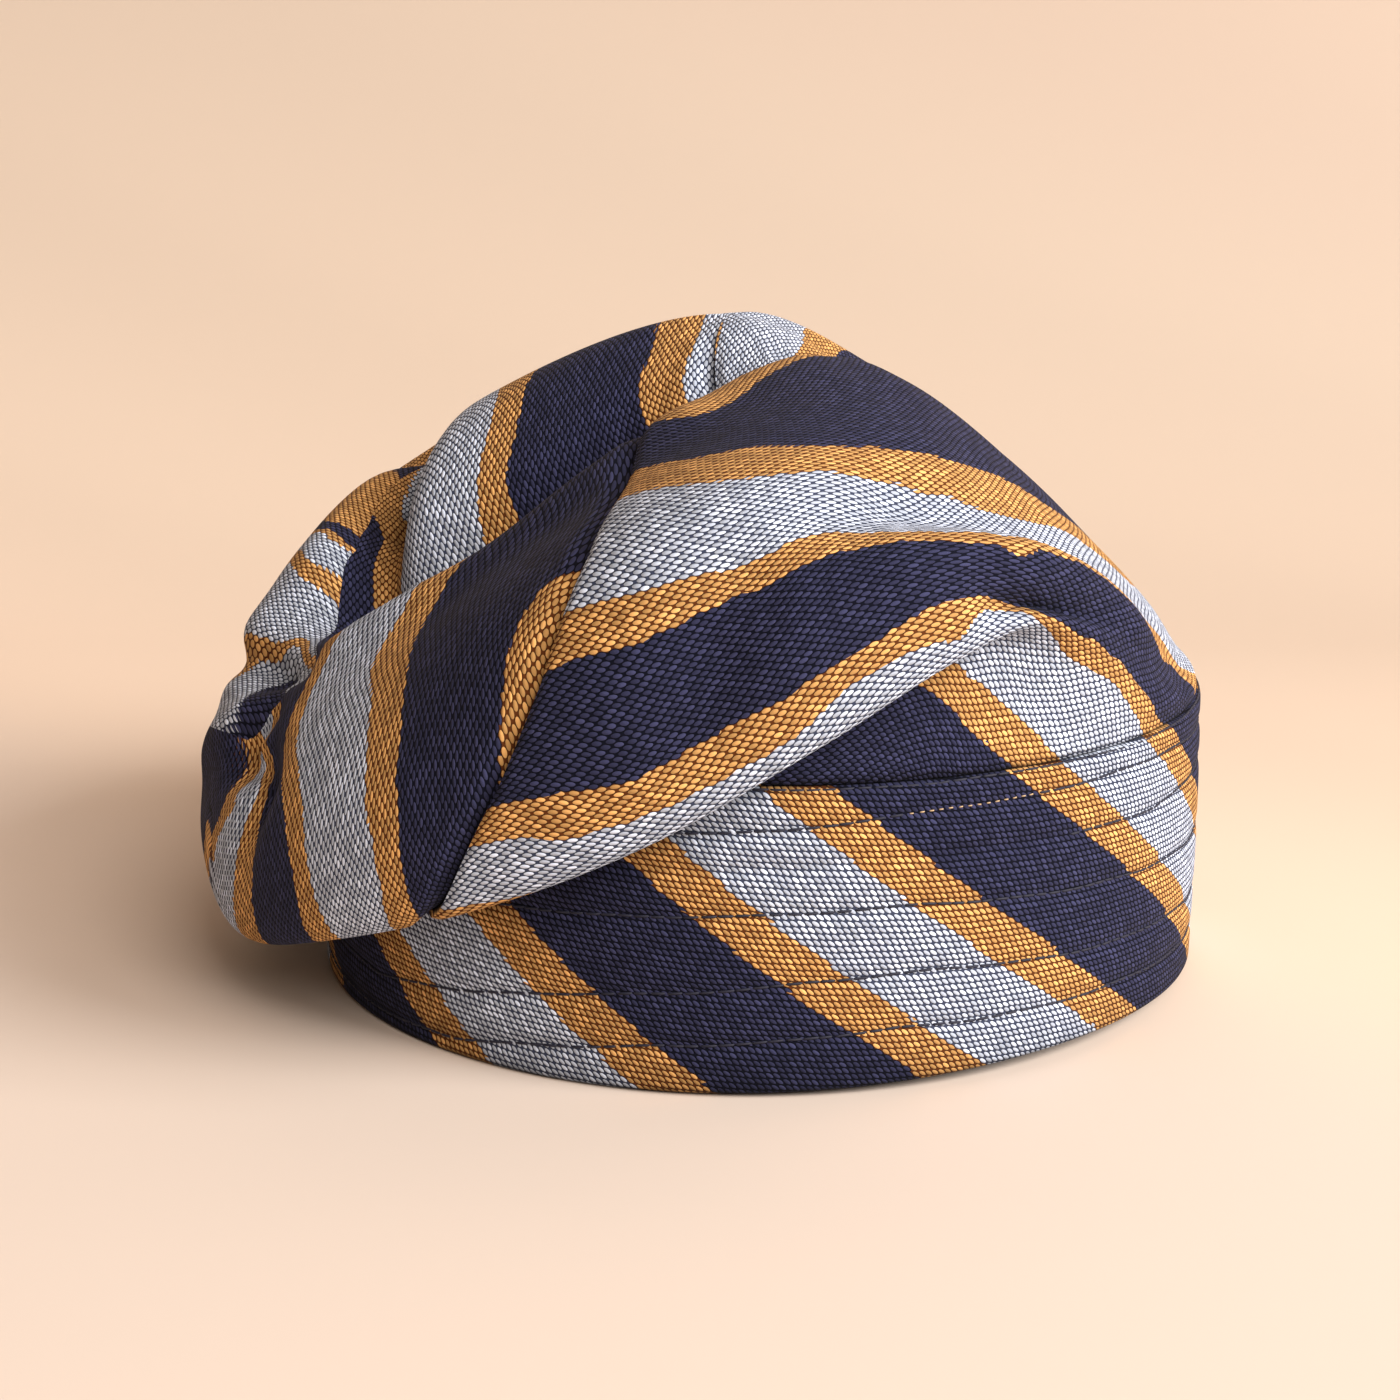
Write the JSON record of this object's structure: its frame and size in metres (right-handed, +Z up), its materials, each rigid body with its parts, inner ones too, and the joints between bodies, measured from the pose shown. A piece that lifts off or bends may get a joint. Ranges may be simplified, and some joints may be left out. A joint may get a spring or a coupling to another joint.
{
  "type": "smock hat",
  "caption": "Soft hat of striped handwoven cotton: an upright stitched band and a roomy two-panel crown that flops over the band at the front left, worn on the head.",
  "frame": {"origin": "on the resting plane, under the middle of the hat's box", "axes": "+Z up out of the crown, +X to the hat's right as seen from the front, where the crown is shortest, +Y to the back"},
  "size_m": [0.2176, 0.2154, 0.1379],
  "materials": {
    "band_cloth": "matt plain-woven cotton in navy, gold and silver-blue diagonal stripes, with rows of dark running stitch",
    "crown_cloth": "matt plain-woven cotton in navy, gold and silver-blue stripes that follow the folds of each panel"
  },
  "bodies": {
    "root": {"band": "band_cloth", "crown_right": "crown_cloth", "crown_left": "crown_cloth"}
  },
  "joints": []
}
